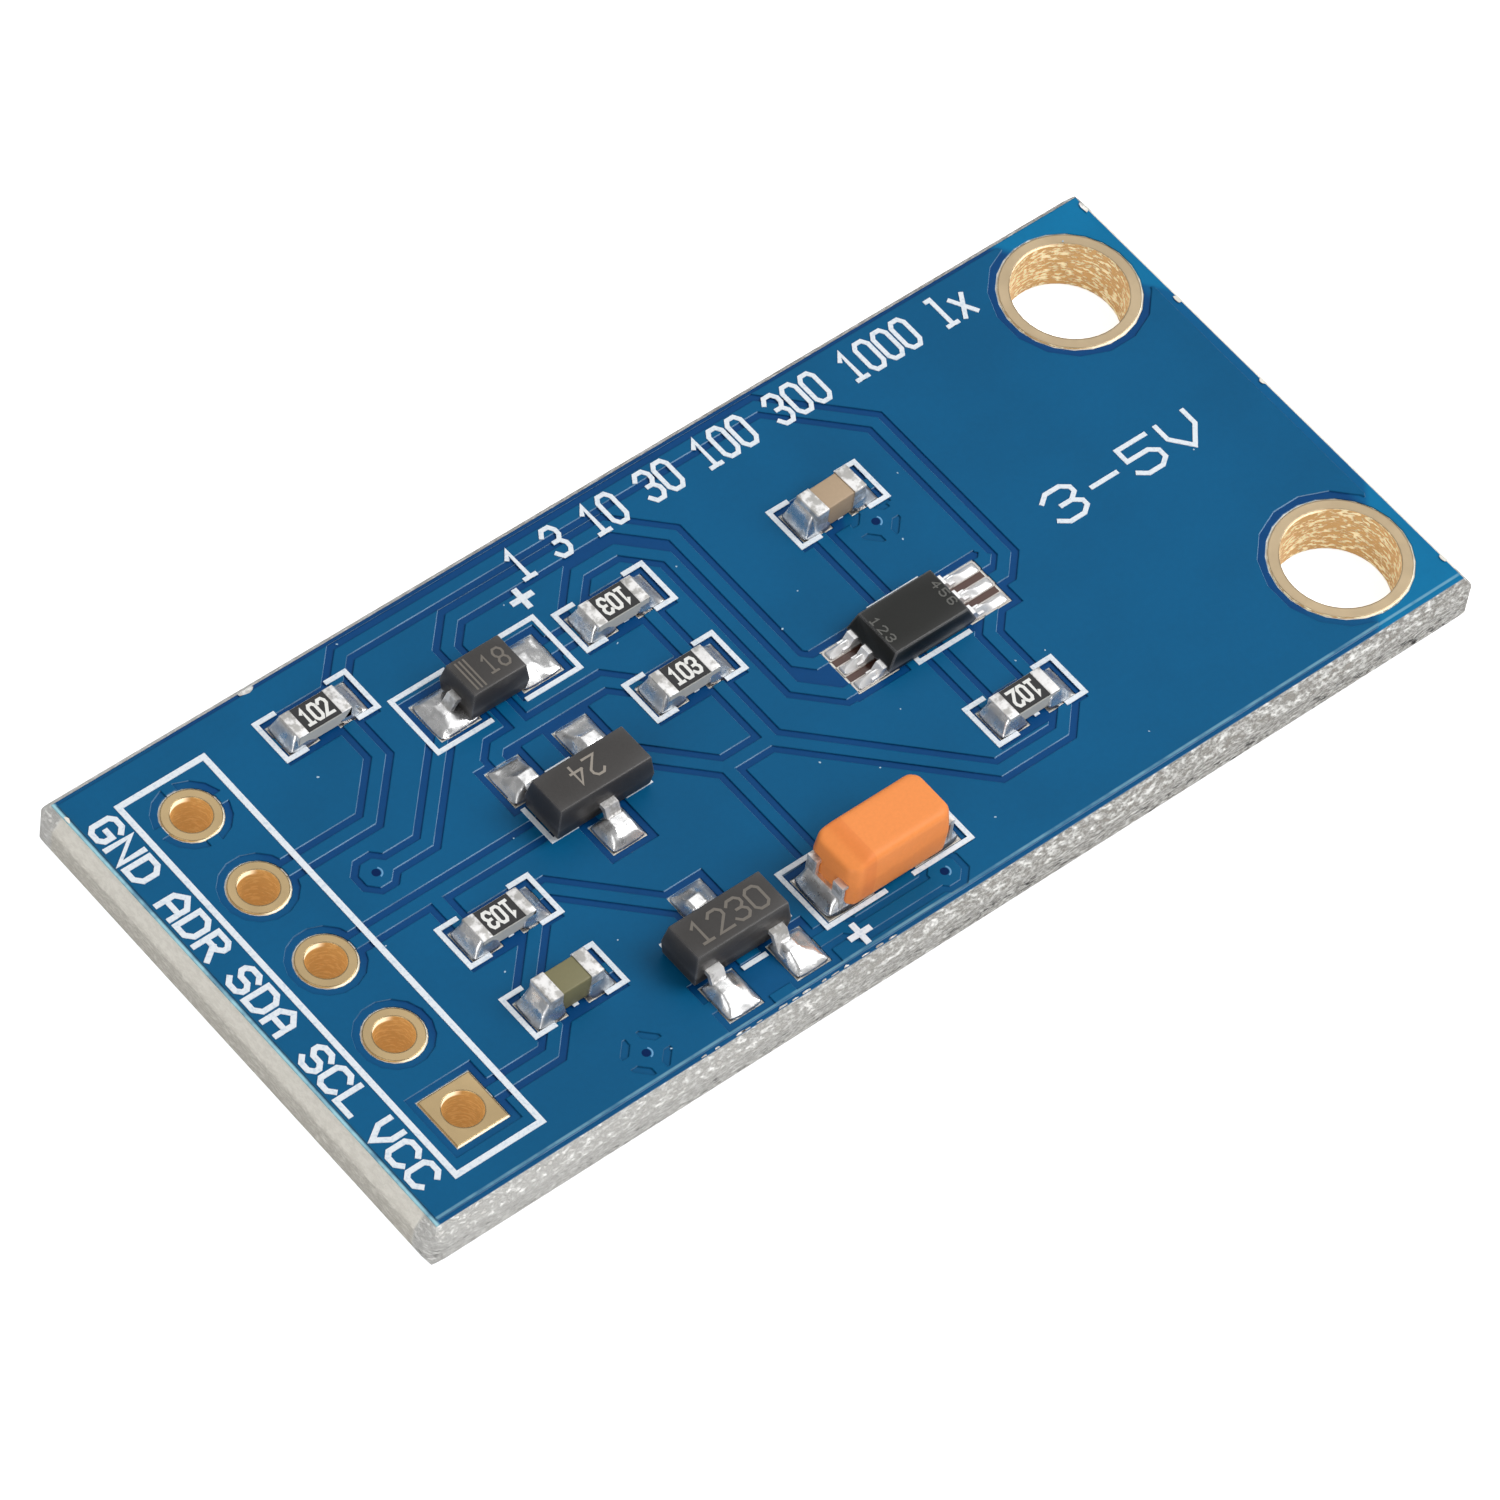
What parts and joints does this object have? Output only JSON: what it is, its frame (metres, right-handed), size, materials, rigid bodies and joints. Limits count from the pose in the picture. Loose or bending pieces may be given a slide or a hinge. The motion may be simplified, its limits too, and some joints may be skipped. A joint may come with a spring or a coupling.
{
  "type": "light sensor module",
  "caption": "Blue light sensor board with five plated pin holes, two mounting holes and soldered surface-mount parts.",
  "frame": {"origin": "centre of the board's footprint, on the plane the board lies on", "axes": "+X along the board from the pin holes to the mounting holes, +Y across it towards the ground pin hole, +Z out of the side with the parts"},
  "size_m": [0.0322, 0.015, 0.0033],
  "materials": {
    "laminate": "cut glass fibre and resin",
    "copper": "smooth copper",
    "solder_mask": "semi-gloss blue",
    "white_ink": "matt printed ink",
    "gold_plating": "hammered-looking gold plate",
    "solder": "smooth bright solder",
    "white_ceramic": "fine matt ceramic",
    "black_glaze": "glossy black glaze",
    "tinned_metal": "satin tin",
    "olive_ceramic": "satin ceramic",
    "tan_ceramic": "satin ceramic",
    "orange_moulding": "fine matt resin",
    "glossy_moulding": "glossy dark resin",
    "black_moulding": "fine matt resin"
  },
  "bodies": {
    "root": {"mounting_eyelet_left": "gold_plating", "mounting_eyelet_right": "gold_plating", "pin_hole_adr": "gold_plating", "pin_hole_gnd": "gold_plating", "pin_hole_scl": "gold_plating", "pin_hole_sda": "gold_plating", "pin_hole_vcc": "gold_plating", "board_core": "laminate", "capacitor_1_body": "olive_ceramic", "capacitor_1_end_caps": "tinned_metal", "capacitor_1_solder": "solder", "capacitor_2_body": "tan_ceramic", "capacitor_2_end_caps": "tinned_metal", "capacitor_2_solder": "solder", "copper_bottom": "copper", "copper_top": "copper", "diode_case": "black_moulding", "diode_lead_minus": "tinned_metal", "diode_lead_plus": "tinned_metal", "diode_solder": "solder", "filled_vias": "gold_plating", "regulator_case": "black_moulding", "regulator_leads": "tinned_metal", "regulator_solder": "solder", "resistor_1_body": "white_ceramic", "resistor_1_coat": "black_glaze", "resistor_1_solder": "solder", "resistor_1_terminals": "tinned_metal", "resistor_2_body": "white_ceramic", "resistor_2_coat": "black_glaze", "resistor_2_solder": "solder", "resistor_2_terminals": "tinned_metal", "resistor_3_body": "white_ceramic", "resistor_3_coat": "black_glaze", "resistor_3_solder": "solder", "resistor_3_terminals": "tinned_metal", "resistor_4_body": "white_ceramic", "resistor_4_coat": "black_glaze", "resistor_4_solder": "solder", "resistor_4_terminals": "tinned_metal", "resistor_5_body": "white_ceramic", "resistor_5_coat": "black_glaze", "resistor_5_solder": "solder", "resistor_5_terminals": "tinned_metal", "sensor_case": "glossy_moulding", "sensor_leads_left": "tinned_metal", "sensor_leads_right": "tinned_metal", "sensor_solder": "solder", "silkscreen_outlines": "white_ink", "solder_mask_bottom": "solder_mask", "solder_mask_top": "solder_mask", "tantalum_case": "orange_moulding", "tantalum_lead_minus": "tinned_metal", "tantalum_lead_plus": "tinned_metal", "tantalum_solder": "solder", "transistor_case": "black_moulding", "transistor_leads": "tinned_metal", "transistor_solder": "solder"}
  },
  "joints": []
}
